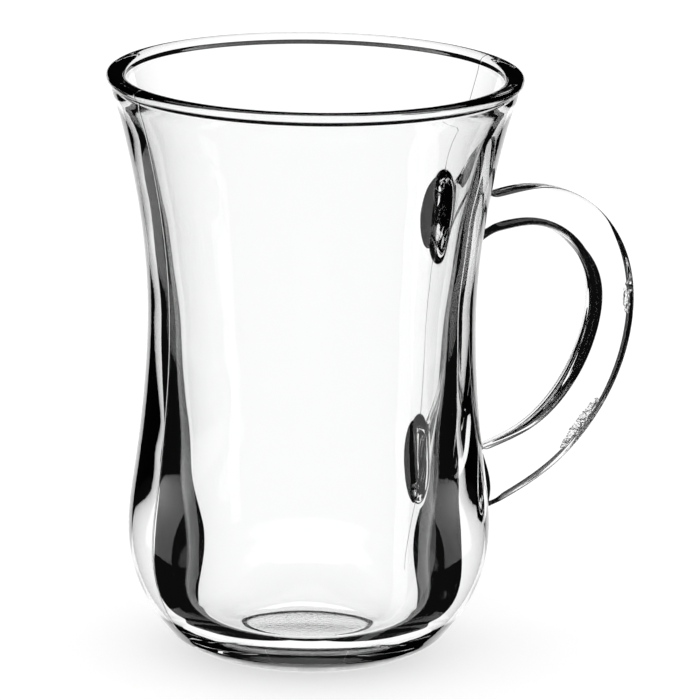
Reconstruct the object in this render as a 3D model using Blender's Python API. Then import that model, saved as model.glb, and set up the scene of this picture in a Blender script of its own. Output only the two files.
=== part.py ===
"""A handled tulip-shaped tea glass in clear pressed glass: cup and strap handle are one solid.

Lengths are in millimetres until the mesh is scaled. The cup is turned about a vertical axis, the
handle lies in the XZ plane towards +X, and the glass stands on z = 0. The origin ends up under the
middle of the box round cup and handle.
"""
import bmesh
import bpy
import numpy as np

METRE = 0.001  # metres in a millimetre

RIM_RADIUS = 38.0
HEIGHT = 108.5
LIP_ROUNDING = 1.35
FOOT_RADIUS = 15.0
RECESS_RADIUS = 12.8  # the underside is raised inside this radius, so the glass stands on a ring
RECESS_DEPTH = 0.8
RECESS_SLOPE = 1.2  # how far in the raised part takes to reach its full height
FLOOR_HEIGHT = 7.4
FLOOR_RADIUS = 12.6

# Outer side of the cup from the foot's edge up to the lip, as (radius, height).
OUTER_SIDE = (
    (FOOT_RADIUS, 0.0),
    (20.6, 0.9),
    (25.5, 4.2),
    (30.6, 11.4),
    (33.2, 21.5),
    (32.2, 34.5),
    (30.5, 51.0),
    (30.1, 65.0),
    (31.6, 82.0),
    (34.5, 96.5),
    (36.5, 103.6),
)
# Inner side from the lip down to the floor's edge.
INNER_SIDE = (
    (33.6, 104.0),
    (31.1, 96.0),
    (29.1, 88.0),
    (27.5, 80.0),
    (26.4, 72.0),
    (25.6, 64.0),
    (25.2, 56.0),
    (24.6, 40.0),
    (24.1, 25.0),
    (23.3, 18.0),
    (22.0, 12.5),
    (19.3, 9.2),
    (15.8, 7.9),
    (FLOOR_RADIUS, FLOOR_HEIGHT),
)

# Middle line of the handle and its thickness across the line, as (x, z, thickness).
HANDLE_LINE = (
    (38.5, 78.3, 7.2),
    (48.5, 78.8, 7.7),
    (58.9, 74.0, 8.3),
    (65.1, 64.5, 8.4),
    (64.8, 51.8, 9.3),
    (58.6, 39.9, 9.8),
    (49.6, 32.2, 10.4),
    (39.5, 28.2, 11.6),
)
HANDLE_WIDTH = 7.2
HANDLE_SQUARENESS = 4.0  # exponent of the section's superellipse, 2 being an ellipse

# Where the handle's roots spread onto the cup: middle height, half height and half width.
UPPER_ROOT = (78.2, 8.0, 5.8)
LOWER_ROOT = (29.6, 10.2, 5.8)
ROOT_MARGIN = 1.2  # from a root's footprint up and down to the cup's next row

COLUMNS = 56  # around the cup
ROOT_COLUMNS = 3  # columns on each side of the handle's plane that a root takes up
ROOT_ROWS = 5
UNDER_ROWS = 3  # rows inside the foot's edge
ROWS_BETWEEN = (9, 6, 5)  # below the lower root, between the roots and above the upper one
INNER_ROWS = 24
LIP_ROWS = 9
HANDLE_RINGS = 26
SPREAD_STEPS = 6
SPREAD_REACH = 1.1  # how strongly a root's fillet follows the cup and the strap at its ends
PROFILE_SAMPLES = 2000  # points on the outer side where a height is looked up


def spline(knots, stations):
    """Points of a natural cubic spline through the knots, at shares of its length from 0 to 1."""
    knots = np.array(knots, float)
    steps = np.linalg.norm(np.diff(knots[:, :2], axis=0), axis=1)
    at = np.concatenate([[0.0], np.cumsum(steps)])
    last = len(steps)
    slopes = np.diff(knots, axis=0) / steps[:, None]
    matrix = np.eye(last + 1)
    right = np.zeros_like(knots)
    for i in range(1, last):
        matrix[i, i - 1 : i + 2] = (steps[i - 1], 2 * (steps[i - 1] + steps[i]), steps[i])
        right[i] = 6 * (slopes[i] - slopes[i - 1])
    bend = np.linalg.solve(matrix, right)
    t = np.asarray(stations, float) * at[-1]
    i = np.clip(np.searchsorted(at, t) - 1, 0, last - 1)
    h = steps[i][:, None]
    before = (at[i + 1] - t)[:, None]
    after = (t - at[i])[:, None]
    curved = (bend[i] * before**3 + bend[i + 1] * after**3) / (6 * h)
    from_low = (knots[i] / h - bend[i] * h / 6) * before
    from_high = (knots[i + 1] / h - bend[i + 1] * h / 6) * after
    return curved + from_low + from_high


def station_of_height(height):
    """The share along the outer side at which the cup reaches a height."""
    shares = np.linspace(0.0, 1.0, PROFILE_SAMPLES)
    return np.interp(height, spline(OUTER_SIDE, shares)[:, 1], shares)


def outer_stations():
    """Shares along the outer side for the rows, with rows at both ends of each root."""
    ends = [0.0]
    for middle, half_height, _ in (LOWER_ROOT, UPPER_ROOT):
        ends.append(station_of_height(middle - half_height - ROOT_MARGIN))
        ends.append(station_of_height(middle + half_height + ROOT_MARGIN))
    ends.append(1.0)
    counts = (ROWS_BETWEEN[0], ROOT_ROWS, ROWS_BETWEEN[1], ROOT_ROWS, ROWS_BETWEEN[2])
    stretches = [np.linspace(a, b, n, endpoint=False) for a, b, n in zip(ends, ends[1:], counts)]
    return np.concatenate(stretches + [[1.0]])


def lip_arc():
    """The rounded top of the rim from its outer side over to its inner side."""
    angle = np.linspace(0.0, np.pi, LIP_ROWS)
    radius = RIM_RADIUS - LIP_ROUNDING + LIP_ROUNDING * np.cos(angle)
    height = HEIGHT - LIP_ROUNDING + LIP_ROUNDING * np.sin(angle)
    return np.stack([radius, height], axis=1)


def cup_profile():
    """Radius and height of the rows, from under the foot up over the rim and down to the floor."""
    raised = RECESS_RADIUS - RECESS_SLOPE
    under = [(raised / 2, RECESS_DEPTH), (raised, RECESS_DEPTH), (RECESS_RADIUS, 0.0)]
    outer = spline(OUTER_SIDE, outer_stations())
    inner = spline(INNER_SIDE, np.linspace(0.0, 1.0, INNER_ROWS))
    floor = [(FLOOR_RADIUS / 2, FLOOR_HEIGHT)]
    return np.concatenate([under, outer, lip_arc(), inner, floor])


def add_ring(mesh, points):
    """New vertices at the points."""
    return [mesh.verts.new(p) for p in points]


def join_rings(mesh, one, other):
    """Quads between two closed rings of vertices."""
    for i in range(len(one)):
        k = (i + 1) % len(one)
        mesh.faces.new((one[i], one[k], other[k], other[i]))


def root_rows(which):
    """Lowest and highest row of the cup's grid at a root, 0 being the lower one."""
    low = UNDER_ROWS + ROWS_BETWEEN[0] + which * (ROOT_ROWS + ROWS_BETWEEN[1])
    return low, low + ROOT_ROWS


def build_cup(mesh):
    """The turned cup with an opening for each root, and the rows of its grid."""
    turns = np.arange(COLUMNS) * 2 * np.pi / COLUMNS
    grid = []
    for radius, height in cup_profile():
        circle = np.stack([radius * np.cos(turns), radius * np.sin(turns), 0 * turns + height], axis=1)
        grid.append(add_ring(mesh, circle))
    at_roots = [row for which in (0, 1) for row in range(*root_rows(which))]
    for row in range(len(grid) - 1):
        for i in range(COLUMNS):
            turn = (i + ROOT_COLUMNS) % COLUMNS
            if row in at_roots and turn < 2 * ROOT_COLUMNS:
                continue
            k = (i + 1) % COLUMNS
            mesh.faces.new((grid[row][i], grid[row][k], grid[row + 1][k], grid[row + 1][i]))
    for ring, height in ((grid[0], RECESS_DEPTH), (grid[-1], FLOOR_HEIGHT)):
        middle = mesh.verts.new((0.0, 0.0, height))
        for i in range(COLUMNS):
            mesh.faces.new((middle, ring[i], ring[(i + 1) % COLUMNS]))
    return grid


def square_loop():
    """Columns and rows round a root's opening, and the same loop on a square of side 2."""
    across = 2 * ROOT_COLUMNS
    wide = np.arange(-ROOT_COLUMNS, ROOT_COLUMNS)
    tall = np.arange(ROOT_ROWS)
    columns = np.concatenate([wide, 0 * tall + ROOT_COLUMNS, -wide, 0 * tall - ROOT_COLUMNS])
    rows = np.concatenate([np.zeros(across, int), tall, 0 * wide + ROOT_ROWS, ROOT_ROWS - tall])
    square = np.stack([2 * rows / ROOT_ROWS - 1, columns / ROOT_COLUMNS], axis=1)
    return columns, rows, square


def superellipse(square, exponent):
    """The square's loop drawn in to a superellipse that touches the same four sides."""
    size = (np.abs(square) ** exponent).sum(axis=1) ** (1 / exponent)
    return square / size[:, None]


def handle_frames():
    """Middle, outward direction, forward direction and thickness at each ring of the handle."""
    line = spline(HANDLE_LINE, np.linspace(0.0, 1.0, HANDLE_RINGS))
    middle = np.stack([line[:, 0], 0 * line[:, 0], line[:, 1]], axis=1)
    forward = np.gradient(middle, axis=0)
    forward /= np.linalg.norm(forward, axis=1)[:, None]
    outward = np.stack([-forward[:, 2], 0 * line[:, 0], forward[:, 0]], axis=1)
    return middle, outward, forward, line[:, 2]


def wall_radius(height):
    """Radius of the cup's outer side at a height."""
    side = spline(OUTER_SIDE, np.linspace(0.0, 1.0, PROFILE_SAMPLES))
    return np.interp(height, side[:, 1], side[:, 0])


def footprint(root, edge, upward, scale):
    """The loop of a root's edge on the cup, drawn in to a share of its size."""
    middle, half_height, half_width = root
    height = middle + upward * scale * half_height * edge[:, 0]
    turn = scale * half_width / wall_radius(middle) * edge[:, 1]
    radius = wall_radius(height)
    return np.stack([radius * np.cos(turn), radius * np.sin(turn), height], axis=1)


def spread(root, square, upward, ring, forward):
    """Rings from a root's footprint on the cup, up its fillet, to just short of the handle's ring."""
    edge = superellipse(square, 2.0)
    start = footprint(root, edge, upward, 1.0)
    leave = footprint(root, edge, upward, 0.95) - start
    leave /= np.linalg.norm(leave, axis=1)[:, None]
    reach = SPREAD_REACH * np.linalg.norm(ring - start, axis=1)[:, None]
    made = []
    for t in np.arange(SPREAD_STEPS) / SPREAD_STEPS:
        from_cup = (2 * t**3 - 3 * t**2 + 1) * start + (t**3 - 2 * t**2 + t) * reach * leave
        to_ring = (3 * t**2 - 2 * t**3) * ring + (t**3 - t**2) * reach * forward
        made.append(from_cup + to_ring)
    return made


def build_handle(mesh, grid):
    """The strap from the cup's upper opening round to its lower one."""
    columns, rows, square = square_loop()
    middle, outward, forward, thickness = handle_frames()
    section = superellipse(square, HANDLE_SQUARENESS)
    side = np.array([0.0, HANDLE_WIDTH / 2, 0.0])
    strap = []
    for i in range(HANDLE_RINGS):
        strap.append(middle[i] + section[:, :1] * thickness[i] / 2 * outward[i] + section[:, 1:] * side)
    upper = spread(UPPER_ROOT, square, 1.0, strap[0], forward[0])
    lower = spread(LOWER_ROOT, square, -1.0, strap[-1], -forward[-1])
    low, _ = root_rows(1)
    last = [grid[low + row][column] for column, row in zip(columns, rows)]
    for points in upper + strap + lower[::-1]:
        ring = add_ring(mesh, points)
        join_rings(mesh, last, ring)
        last = ring
    _, high = root_rows(0)
    join_rings(mesh, last, [grid[high - row][column] for column, row in zip(columns, rows)])


def glass_material():
    """Clear colourless glass."""
    material = bpy.data.materials.new("clear_glass")
    material.use_nodes = True
    shader = material.node_tree.nodes["Principled BSDF"]
    shader.inputs["Base Color"].default_value = (0.97, 0.98, 0.98, 1.0)
    shader.inputs["Roughness"].default_value = 0.02
    shader.inputs["Metallic"].default_value = 0.0
    shader.inputs["IOR"].default_value = 1.52
    shader.inputs["Transmission Weight"].default_value = 1.0
    return material


def build_glass():
    """The whole glass as one object named tea_glass."""
    mesh = bmesh.new()
    grid = build_cup(mesh)
    build_handle(mesh, grid)
    bmesh.ops.recalc_face_normals(mesh, faces=mesh.faces)
    across = [vert.co.x for vert in mesh.verts]
    middle = (min(across) + max(across)) / 2
    bmesh.ops.translate(mesh, vec=(-middle, 0.0, 0.0), verts=mesh.verts)
    bmesh.ops.scale(mesh, vec=(METRE, METRE, METRE), verts=mesh.verts)
    data = bpy.data.meshes.new("tea_glass")
    mesh.to_mesh(data)
    mesh.free()
    data.shade_smooth()
    data.materials.append(glass_material())
    glass = bpy.data.objects.new("tea_glass", data)
    bpy.context.scene.collection.objects.link(glass)
    return glass


for old in list(bpy.data.objects):
    bpy.data.objects.remove(old)
build_glass()
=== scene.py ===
from math import cos, pi, radians, sin

import bpy
import numpy as np
from mathutils import Matrix, Vector


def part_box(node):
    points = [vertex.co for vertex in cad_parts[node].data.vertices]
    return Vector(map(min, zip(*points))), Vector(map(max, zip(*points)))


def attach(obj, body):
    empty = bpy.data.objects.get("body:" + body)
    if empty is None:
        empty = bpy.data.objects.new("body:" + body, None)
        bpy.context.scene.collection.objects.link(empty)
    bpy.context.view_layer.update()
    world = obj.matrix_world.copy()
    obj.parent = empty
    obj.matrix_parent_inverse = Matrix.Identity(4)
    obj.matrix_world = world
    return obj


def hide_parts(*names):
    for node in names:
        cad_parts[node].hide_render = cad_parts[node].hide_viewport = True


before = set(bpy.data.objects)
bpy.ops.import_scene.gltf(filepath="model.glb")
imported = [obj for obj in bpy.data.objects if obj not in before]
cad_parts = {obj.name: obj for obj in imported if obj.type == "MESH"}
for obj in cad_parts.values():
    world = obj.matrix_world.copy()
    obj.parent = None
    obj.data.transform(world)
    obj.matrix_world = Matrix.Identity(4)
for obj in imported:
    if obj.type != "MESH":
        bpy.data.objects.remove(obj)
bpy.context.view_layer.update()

millimetre = 0.001
print("frame loaded")

# Lengths below are millimetres. The cup's own axis stands one rim radius in from the low side of
# the frame's box, and the handle lies in the XZ plane towards +X.

cup = {
    "rimRadius": 38.0,
    "footRadius": 15.0,
    "recessRadius": 12.8,  # the underside is raised inside this radius
    "recessDepth": 0.8,
    "recessSlope": 1.2,
    "floorHeight": 7.4,
    "floorRadius": 12.6,
    "outerSide": [(15.0, 0.0), (17.0, 0.15), (19.2, 0.6), (21.2, 1.3), (23.4, 2.45), (25.45, 3.9),
                  (26.2, 4.82), (26.95, 5.75), (28.4, 7.7), (30.6, 11.4), (33.2, 21.5), (32.2, 34.5),
                  (30.5, 51.0), (30.1, 65.0), (31.6, 82.0), (34.5, 96.5), (36.5, 103.6), (36.9, 105.0),
                  (36.96, 105.75)],
    "tableSteps": 4000,  # fine steps along the outer side, to look up its radius at a height
    # The fire-polished rim is a small bead: a neck outside, its crown, and its round inner edge.
    "lip": [(36.98, 106.1), (37.15, 106.3), (37.6, 106.75), (37.9, 107.15), (38.0, 107.65), (37.9, 108.1),
            (37.6, 108.35), (36.9, 108.5), (36.1, 108.48), (35.4, 108.32), (34.85, 108.0), (34.55, 107.55),
            (34.45, 107.0), (34.3, 106.4), (33.98, 105.3)],
    "innerSide": [(33.6, 104.0), (31.1, 96.0), (29.1, 88.0), (27.5, 80.0), (26.4, 72.0), (25.6, 64.0),
                  (25.2, 56.0), (24.9, 48.0), (24.6, 40.0), (24.5, 32.0), (24.1, 25.0), (23.3, 18.0),
                  (22.0, 12.5), (19.3, 9.2), (15.8, 7.9), (12.6, 7.4)],
    "columns": 192,  # round the cup
    "rootColumns": 10,  # columns on each side of the handle's plane that a root takes up
    "rootRows": 24,
    "rowsBetween": (40, 24, 24),
    "innerRows": 110,
    "lipRows": 41,
    "capRows": 24,
}

handle = {
    "line": [(38.5, 78.3, 7.2), (48.5, 78.8, 7.7), (58.9, 74.0, 8.3), (65.1, 64.5, 8.4),
             (64.8, 51.8, 9.3), (58.6, 39.9, 9.8), (49.6, 32.2, 10.4), (39.5, 28.2, 11.6)],
    "width": (7.4, 5.2),  # at the upper and the lower end
    "squareness": (3.0, 4.5),  # exponent of the section's superellipse at the two ends
    "rings": 120,
    "spreadRings": 14,
    "wallRings": 4,
    "spreadReach": 0.7,
    "leaveFrom": 0.97,  # this much smaller footprint gives the way in which a root leaves the wall
    "upperRoot": (76.8, 9.2, 8.0),  # middle height, half height and half width
    "lowerRoot": (28.6, 10.2, 8.2),
    "margin": 1.2,  # from a root's footprint up and down to the edge of its opening
}

cup["axisX"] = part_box("tea_glass")[0][0] / millimetre + cup["rimRadius"]


# Natural cubic spline: between two knots the line is the cubic whose bends at the knots make
# slope and bend run on, with no bend at the two ends. Shares run from 0 to 1 along the chords.
def smoothLine(knots, shares):
    knots = np.array(knots, float)
    steps = np.linalg.norm(np.diff(knots[:, :2], axis=0), axis=1)
    at = np.concatenate([[0.0], np.cumsum(steps)])
    last = len(steps)
    slopes = np.diff(knots, axis=0) / steps[:, None]
    matrix = np.eye(last + 1)
    right = np.zeros_like(knots)
    for i in range(1, last):
        matrix[i, i - 1:i + 2] = (steps[i - 1], 2 * (steps[i - 1] + steps[i]), steps[i])
        right[i] = 6 * (slopes[i] - slopes[i - 1])
    bend = np.linalg.solve(matrix, right)
    t = np.asarray(shares, float) * at[-1]
    i = np.clip(np.searchsorted(at, t) - 1, 0, last - 1)
    h, before, after = steps[i][:, None], (at[i + 1] - t)[:, None], (t - at[i])[:, None]
    return ((bend[i] * before**3 + bend[i + 1] * after**3) / (6 * h)
            + (knots[i] / h - bend[i] * h / 6) * before
            + (knots[i + 1] / h - bend[i + 1] * h / 6) * after)


# Smooth step: 3t^2 - 2t^3 of the value held between 0 and 1.
def smoothStep(value):
    t = np.clip(value, 0.0, 1.0)
    return t * t * (3 - 2 * t)


# The outer side as a table of radius over height.
def outerTable():
    shares = np.linspace(0, 1, cup["tableSteps"])
    side = smoothLine(cup["outerSide"], shares)
    return shares, side[:, 0], side[:, 1]


# Shares along the outer side, with rows at both ends of each root.
def outerShares():
    shares, _, heights = outerTable()
    ends = [0.0]
    for middle, half, _ in (handle["lowerRoot"], handle["upperRoot"]):
        for end in (middle - half - handle["margin"], middle + half + handle["margin"]):
            ends.append(np.interp(end, heights, shares))
    ends.append(1.0)
    below, between, above = cup["rowsBetween"]
    counts = (below, cup["rootRows"], between, cup["rootRows"], above)
    stretches = [np.linspace(a, b, n, endpoint=False) for a, b, n in zip(ends, ends[1:], counts)]
    return np.concatenate(stretches + [[1.0]])


# Radius and height of every row of the cup: the underside with its raised middle, the outer side,
# the rim's bead, the inner side and the floor.
def cupProfile():
    shares = np.arange(1, cup["capRows"]) / cup["capRows"]
    r = shares * cup["footRadius"]
    raised = cup["recessDepth"] * smoothStep((cup["recessRadius"] - r) / cup["recessSlope"])
    under = np.stack([r, raised], axis=1)
    outer = smoothLine(cup["outerSide"], outerShares())
    lip = smoothLine(cup["lip"], np.linspace(0, 1, cup["lipRows"]))
    inner = smoothLine(cup["innerSide"], np.linspace(0, 1, cup["innerRows"]))
    floor = np.stack([shares[::-1] * cup["floorRadius"], 0 * shares + cup["floorHeight"]], axis=1)
    return np.concatenate([under, outer, lip, inner, floor])


# A point of the outer side at a turn from the handle's plane and a height:
# (radius cos turn, radius sin turn, height).
def wallPoints(turn, height):
    _, radii, heights = outerTable()
    radius = np.interp(height, heights, radii)
    return np.stack([radius * np.cos(turn), radius * np.sin(turn), height], axis=-1)


# Columns and rows round a root's opening, and the same loop on a square of side 2.
def squareLoop():
    wide = np.arange(-cup["rootColumns"], cup["rootColumns"])
    tall = np.arange(cup["rootRows"])
    columns = np.concatenate([wide, 0 * tall + cup["rootColumns"], -wide, 0 * tall - cup["rootColumns"]])
    rows = np.concatenate([0 * wide, tall, 0 * wide + cup["rootRows"], cup["rootRows"] - tall])
    square = np.stack([2 * rows / cup["rootRows"] - 1, columns / cup["rootColumns"]], axis=1)
    return columns, rows, square


# The square's loop drawn in to |x|^n + |y|^n = 1.
def superellipse(square, exponent):
    return square / ((np.abs(square) ** exponent).sum(axis=1) ** (1 / exponent))[:, None]


# A root: rings on the wall from the opening's edge to an oval footprint, then rings on cubic
# Hermite curves that leave the wall along its surface and arrive along the strap.
def spread(root, opening, square, upward, ring, forward):
    middle, halfHeight, halfWidth = root
    edge = superellipse(square, 2.0)
    radius = wallPoints(np.zeros(1), np.full(1, middle))[0, 0]

    def footprint(scale):
        turn = scale * halfWidth / radius * edge[:, 1]
        return turn, middle + upward * scale * halfHeight * edge[:, 0]

    turnOut, heightOut = opening
    turnIn, heightIn = footprint(1.0)
    t = (np.arange(1, handle["wallRings"]) / handle["wallRings"])[:, None]
    onWall = wallPoints((1 - t) * turnOut + t * turnIn, (1 - t) * heightOut + t * heightIn)
    start = wallPoints(turnIn, heightIn)
    leave = wallPoints(*footprint(handle["leaveFrom"])) - start
    leave /= np.linalg.norm(leave, axis=1)[:, None]
    reach = handle["spreadReach"] * np.linalg.norm(ring - start, axis=1)[:, None]
    t = (np.arange(handle["spreadRings"]) / handle["spreadRings"])[:, None, None]
    rise = ((2 * t**3 - 3 * t**2 + 1) * start + (t**3 - 2 * t**2 + t) * reach * leave
            + (3 * t**2 - 2 * t**3) * ring + (t**3 - t**2) * reach * forward)
    return np.concatenate([onWall, rise])


# The whole glass as one closed surface: the cup is (r cos turn, r sin turn, z) over its rows and
# columns, with a gap at each root, and the strap is a superellipse carried along the handle's line.
def glassSurface():
    profile = cupProfile()
    turns = np.arange(cup["columns"]) * 2 * pi / cup["columns"]
    r, z = profile[:, :1], profile[:, 1:]
    grid = np.stack([r * np.cos(turns), r * np.sin(turns), z + 0 * turns], axis=-1).reshape(-1, 3)
    rows = len(profile)
    index = np.arange(rows * cup["columns"]).reshape(rows, cup["columns"])
    beside = np.roll(index, -1, axis=1)
    below, between, _ = cup["rowsBetween"]
    lowRow = cup["capRows"] - 1 + below
    highRow = lowRow + cup["rootRows"] + between
    row = np.arange(rows - 1)[:, None]
    column = ((np.arange(cup["columns"]) + cup["rootColumns"]) % cup["columns"])[None, :]
    atLow = (row >= lowRow) & (row < lowRow + cup["rootRows"])
    atHigh = (row >= highRow) & (row < highRow + cup["rootRows"])
    keep = ~((atLow | atHigh) & (column < 2 * cup["rootColumns"]))
    cupQuads = np.stack([index[:-1], beside[:-1], beside[1:], index[1:]], axis=-1)[keep]

    columns, loopRows, square = squareLoop()
    line = smoothLine(handle["line"], np.linspace(0, 1, handle["rings"]))
    middle = np.stack([line[:, 0], 0 * line[:, 0], line[:, 1]], axis=1)
    forward = np.gradient(middle, axis=0)
    forward /= np.linalg.norm(forward, axis=1)[:, None]
    outward = np.stack([-forward[:, 2], 0 * line[:, 0], forward[:, 0]], axis=1)
    powers = np.linspace(*handle["squareness"], len(line))
    section = np.stack([superellipse(square, power) for power in powers])
    width = np.linspace(*handle["width"], len(line))[:, None, None]
    strap = (middle[:, None] + section[:, :, :1] * line[:, None, 2:] / 2 * outward[:, None]
             + section[:, :, 1:] * width / 2 * np.array([0, 1, 0]))
    topLoop = index[highRow + loopRows, columns % cup["columns"]]
    lowLoop = index[lowRow + cup["rootRows"] - loopRows, columns % cup["columns"]]
    turnOut = columns * 2 * pi / cup["columns"]
    upper = spread(handle["upperRoot"], (turnOut, grid[topLoop][:, 2]), square, 1.0,
                   strap[0], forward[0])
    lower = spread(handle["lowerRoot"], (turnOut, grid[lowLoop][:, 2]), square, -1.0,
                   strap[-1], -forward[-1])
    rings = np.concatenate([upper, strap, lower[::-1]])
    ringIndex = len(grid) + np.arange(rings.shape[0] * rings.shape[1]).reshape(rings.shape[:2])
    chain = np.concatenate([topLoop[None], ringIndex, lowLoop[None]])
    after = np.roll(chain, -1, axis=1)
    strapQuads = np.stack([chain[:-1], after[:-1], after[1:], chain[1:]], axis=-1).reshape(-1, 4)

    poles = np.array([(0, 0, cup["recessDepth"]), (0, 0, cup["floorHeight"])])
    points = np.concatenate([grid, rings.reshape(-1, 3), poles])
    low, high = len(points) - 2 + 0 * index[0], len(points) - 1 + 0 * index[0]
    fans = np.concatenate([np.stack([beside[0], index[0], low], axis=-1),
                           np.stack([index[-1], beside[-1], high], axis=-1)])
    points[:, 0] += cup["axisX"]
    return points, np.concatenate([cupQuads, strapQuads]), fans


# Puts a surface worked out in millimetres into a new object at the origin.
def meshPiece(name, points, faces):
    mesh = bpy.data.meshes.new(name)
    mesh.from_pydata((points * millimetre).tolist(), [], faces)
    mesh.shade_smooth()
    piece = bpy.data.objects.new(name, mesh)
    bpy.context.scene.collection.objects.link(piece)
    return piece


# One output socket, with arithmetic that adds Math nodes.
class Value:
    def __init__(self, tree, socket):
        self.tree = tree
        self.socket = socket

    # Any other node: its type, its settings, then the values or links of its sockets.
    def node(self, kind, settings=None, sockets=None, output=0):
        made = self.tree.nodes.new(kind)
        for key, setting in (settings or {}).items():
            setattr(made, key, setting)
        for key, given in (sockets or {}).items():
            if isinstance(given, Value):
                self.tree.links.new(given.socket, made.inputs[key])
            else:
                made.inputs[key].default_value = given
        return Value(self.tree, made.outputs[output])

    def math(self, operation, *others):
        given = {i + 1: other for i, other in enumerate(others)}
        return self.node("ShaderNodeMath", {"operation": operation}, {0: self, **given})

    # A noise whose grains are about so many units across, where this is a place.
    def noise(self, size, detail):
        return self.node("ShaderNodeTexNoise", {}, {"Vector": self, "Scale": 1 / size, "Detail": detail})

    def __add__(self, other):
        return self.math("ADD", other)

    def __sub__(self, other):
        return self.math("SUBTRACT", other)

    def __mul__(self, other):
        return self.math("MULTIPLY", other)

    def __truediv__(self, other):
        return self.math("DIVIDE", other)

    def __pow__(self, other):
        return self.math("POWER", other)

    def __rsub__(self, other):
        return (self * -1.0) + other

    __radd__ = __add__
    __rmul__ = __mul__

    def abs(self):
        return self.math("ABSOLUTE")

    # 0 below low, 1 above high, smooth between.
    def ramp(self, low, high):
        return self.node("ShaderNodeMapRange", {"interpolation_type": "SMOOTHSTEP"},
                         {"Value": self, "From Min": low, "From Max": high})


clearGlass = {
    "colour": (0.996, 0.999, 0.998, 1.0),
    "roughness": 0.0,
    "handledRoughness": 0.02,
    "smearSize": 20.0,  # millimetres across a patch left by hands
    "smearFrom": (0.45, 0.75),
    "refraction": 1.5,
    "waveSize": 9.0,  # millimetres across one wave of the pressed surface
    "waveHeight": 0.012,
    "chillSize": 1.6,
    "chillHeight": 0.0006,
    # The mould's seam stands up along the handle's plane on the outer side, which lies outside
    # the radius wallMiddle + wallFlare * (height - flareFrom) ^ flarePower.
    "seamHeight": 0.05,
    "seamHalfWidth": (0.05, 0.3),
    "wallMiddle": 28.1,
    "wallFlare": 0.0282,
    "flareFrom": 66.0,
    "flarePower": 1.5,
    # Rough chill marks on the handle's outer edge: middle, half lengths and lean of each oval.
    "marks": [((60.6, 34.6), (9.5, 2.2), 47.0), ((70.2, 58.5), (4.5, 1.3), 92.0)],
    "markEdge": 0.3,  # from here on out a mark fades
    "markRagged": 1.2,  # how much the grit eats into a mark's edge
    "markCut": (0.95, 1.15),
    "markFrom": (1.8, 2.5),  # the marks lie on the strap's two sides, this far off its middle plane
    "markHeight": 1.0,
    "gritSize": 0.8,
    # The raised middle of the underside is as rough as the mould left it.
    "underRadius": (12.4, 12.9),
    "underBelow": (1.5, 2.0),
    "underHeight": 0.16,
}


# How far into an oval in the XZ plane a point lies: 1 in its middle, 0 from its edge on, from
# (u / long)^2 + (v / short)^2, with u and v turned by the oval's lean.
def ovalMask(x, z, oval):
    (middleX, middleZ), (long, short), lean = oval
    c, s = cos(radians(lean)), sin(radians(lean))
    u = ((x - middleX) * c + (z - middleZ) * s) / long
    v = ((z - middleZ) * c - (x - middleX) * s) / short
    return 1.0 - (u * u + v * v).ramp(clearGlass["markEdge"], 1.0)


# Pressed glass: height = waves + chill + seam + (grit - 1/2) * (marks + underside), all read in
# millimetres on Object coordinates, and the roughness rises a little where the glass is handled.
def makeClearGlass():
    material = bpy.data.materials.new("clear_glass")
    material.use_nodes = True
    tree = material.node_tree
    shader = tree.nodes["Principled BSDF"]
    shader.inputs["Base Color"].default_value = clearGlass["colour"]
    shader.inputs["IOR"].default_value = clearGlass["refraction"]
    shader.inputs["Transmission Weight"].default_value = 1.0
    place = Value(tree, None).node("ShaderNodeTexCoord", output=3)  # Object coordinates, in metres
    place = place.node("ShaderNodeVectorMath", {"operation": "SCALE"}, {0: place, "Scale": 1 / millimetre})
    waves = place.noise(clearGlass["waveSize"], 1.0)
    chill = place.noise(clearGlass["chillSize"], 2.0)
    x, y, z = (place.node("ShaderNodeSeparateXYZ", {}, {0: place}, output=axis) for axis in range(3))
    x = x - cup["axisX"]
    flare = (z - clearGlass["flareFrom"]).math("MAXIMUM", 0.0) ** clearGlass["flarePower"]
    outside = x.abs().math("GREATER_THAN", flare * clearGlass["wallFlare"] + clearGlass["wallMiddle"])
    seam = (1.0 - y.abs().ramp(*clearGlass["seamHalfWidth"])) * outside
    grit = place.noise(clearGlass["gritSize"], 3.0)
    first, second = (ovalMask(x, z, oval) for oval in clearGlass["marks"])
    marked = first.math("MAXIMUM", second) * y.abs().ramp(*clearGlass["markFrom"])
    ragged = (marked + grit * clearGlass["markRagged"]).ramp(*clearGlass["markCut"])
    fromAxis = (x * x + y * y) ** 0.5
    under = 1.0 - fromAxis.ramp(*clearGlass["underRadius"])
    under = under * (1.0 - z.ramp(*clearGlass["underBelow"]))
    rough = ragged * clearGlass["markHeight"] + under * clearGlass["underHeight"]
    height = (waves * clearGlass["waveHeight"] + chill * clearGlass["chillHeight"]
              + seam * clearGlass["seamHeight"] + (grit - 0.5) * rough)
    bump = place.node("ShaderNodeBump", {}, {"Height": height, "Distance": millimetre, "Strength": 1.0})
    tree.links.new(bump.socket, shader.inputs["Normal"])
    handled = place.noise(clearGlass["smearSize"], 3.0).ramp(*clearGlass["smearFrom"])
    roughness = handled * clearGlass["handledRoughness"] + clearGlass["roughness"]
    tree.links.new(roughness.socket, shader.inputs["Roughness"])
    return material


view = {
    "azimuth": -32.0,
    "elevation": 13.95,
    "roll": 0.94,
    "distance": 1200.0,
    "pixelsPerMillimetre": 5.4507,
    "pixels": 700,
    "height": 54.0,  # this height on the cup's axis falls on the pixel below
    "pixel": (311.2, 363.0),
    "sensor": 36.0,
    "clip": (0.01, 50),  # metres
}


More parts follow.
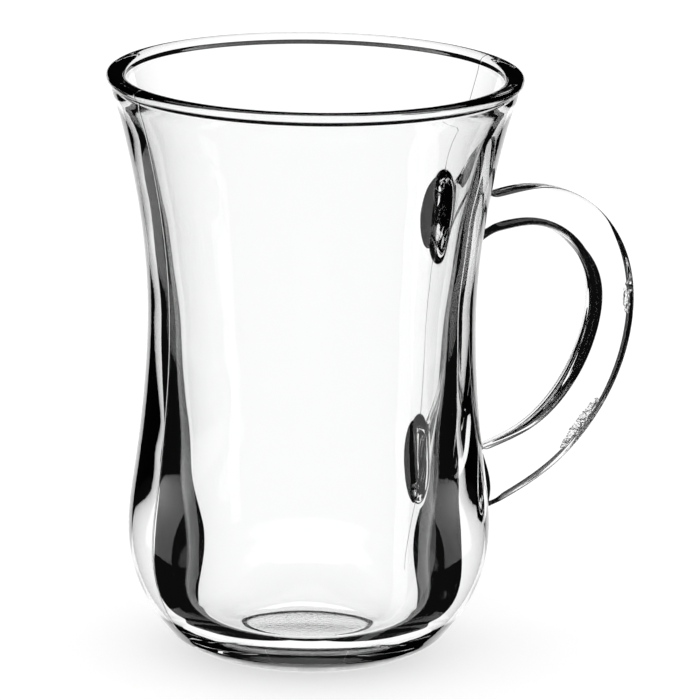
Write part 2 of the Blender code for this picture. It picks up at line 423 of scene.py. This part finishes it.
# The camera stands back along (sin a cos e, -cos a cos e, sin e) from the point that falls on the
# picture's middle, and rolls about its own line of sight.
def makeCamera():
    a, e = radians(view["azimuth"]), radians(view["elevation"])
    back = Vector((sin(a) * cos(e), -cos(a) * cos(e), sin(e)))
    turn = back.to_track_quat("Z", "Y").to_matrix() @ Matrix.Rotation(radians(view["roll"]), 3, "Z")
    right, up = turn @ Vector((1, 0, 0)), turn @ Vector((0, 1, 0))
    across = (view["pixels"] / 2 - view["pixel"][0]) / view["pixelsPerMillimetre"]
    down = (view["pixel"][1] - view["pixels"] / 2) / view["pixelsPerMillimetre"]
    target = Vector((cup["axisX"], 0, view["height"])) + right * across + up * down
    data = bpy.data.cameras.new("camera")
    data.sensor_width = view["sensor"]
    data.lens = view["sensor"] * view["distance"] * view["pixelsPerMillimetre"] / view["pixels"]
    data.clip_start, data.clip_end = view["clip"]
    camera = bpy.data.objects.new("camera", data)
    bpy.context.scene.collection.objects.link(camera)
    stand = (target + back * view["distance"]) * millimetre
    camera.matrix_world = Matrix.Translation(stand) @ turn.to_4x4()
    bpy.context.scene.camera = camera
    return camera


studio = {
    "world": 1.14,
    "floorSize": 6000.0,
    "floorColour": (0.45, 0.45, 0.45, 1.0),
    "floorGlow": 0.6,
    "cardDistance": 3000.0,
    "cardSteps": 24,
    "cardGlow": 0.004,
    # Degrees to the right of the camera's line and above the horizon, low and high.
    "cards": {
        "card_left": ((-100, -25.6), (-75, 3)),
        "card_right": ((25.6, 92), (-75, 3)),
        "card_front": ((106, 260), (-75, 3)),
        "card_above": ((-180, 180), (3, 45)),
        "card_below": ((-180, 180), (-89.9, -75)),
    },
}


# A card's dark face: a flat glow of nearly nothing, with no shine.
def makeCardFace():
    material = bpy.data.materials.new("dark_card")
    material.use_nodes = True
    tree = material.node_tree
    tree.nodes.clear()
    glow = Value(tree, None).node("ShaderNodeEmission", {},
                                  {"Color": (1, 1, 1, 1), "Strength": studio["cardGlow"]})
    output = tree.nodes.new("ShaderNodeOutputMaterial")
    tree.links.new(glow.socket, output.inputs["Surface"])
    return material


# A card is a patch of a sphere round the glass, between two turns and two elevations, and it goes
# with the camera, so that every view has a pale middle and dark sides.
def makeCard(name, turns, elevations, camera, material):
    turn, rise = np.meshgrid(np.radians(np.linspace(*turns, studio["cardSteps"])),
                             np.radians(np.linspace(*elevations, studio["cardSteps"])))
    heading = radians(view["azimuth"])
    ahead, right = np.array([-sin(heading), cos(heading), 0]), np.array([cos(heading), sin(heading), 0])
    way = (ahead * (np.cos(turn) * np.cos(rise))[..., None]
           + right * (np.sin(turn) * np.cos(rise))[..., None]
           + np.array([0, 0, 1]) * np.sin(rise)[..., None])
    points = (way * studio["cardDistance"]).reshape(-1, 3) + (cup["axisX"], 0, view["height"])
    index = np.arange(turn.size).reshape(turn.shape)
    quads = np.stack([index[:-1, :-1], index[:-1, 1:], index[1:, 1:], index[1:, :-1]], axis=-1)
    card = meshPiece(name, points, quads.reshape(-1, 4).tolist())
    card.data.materials.append(material)
    card.visible_camera = False
    card.visible_diffuse = False
    card.visible_shadow = False
    card.parent = camera
    card.matrix_parent_inverse = camera.matrix_world.inverted()


# White surroundings, the dark cards, and a pale floor that the glass neither lets through nor
# mirrors. The floor glows a little, so that it comes out nearly white and keeps a faint shadow.
def makeStudio(camera):
    scene = bpy.context.scene
    scene.view_settings.view_transform = "Standard"
    world = bpy.data.worlds.new("studio")
    world.use_nodes = True
    world.node_tree.nodes["Background"].inputs["Color"].default_value = (1, 1, 1, 1)
    world.node_tree.nodes["Background"].inputs["Strength"].default_value = studio["world"]
    scene.world = world
    half = studio["floorSize"] / 2
    corners = np.array([(-half, -half, 0), (half, -half, 0), (half, half, 0), (-half, half, 0)])
    floor = meshPiece("floor", corners, [(0, 1, 2, 3)])
    pale = bpy.data.materials.new("pale_floor")
    pale.use_nodes = True
    shader = pale.node_tree.nodes["Principled BSDF"]
    shader.inputs["Base Color"].default_value = studio["floorColour"]
    shader.inputs["Emission Color"].default_value = (1, 1, 1, 1)
    shader.inputs["Emission Strength"].default_value = studio["floorGlow"]
    shader.inputs["Roughness"].default_value = 1.0
    shader.inputs["Specular IOR Level"].default_value = 0.0
    floor.data.materials.append(pale)
    floor.visible_transmission = False
    floor.visible_glossy = False
    dark = makeCardFace()
    for name, (turns, elevations) in studio["cards"].items():
        makeCard(name, turns, elevations, camera, dark)


points, quads, fans = glassSurface()
glass = meshPiece("glass", points, quads.tolist() + fans.tolist())
glass.data.materials.append(makeClearGlass())
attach(glass, "root")
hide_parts("tea_glass")
print("glass made:", len(glass.data.polygons), "faces")

camera = makeCamera()
makeStudio(camera)
print("camera and studio made")
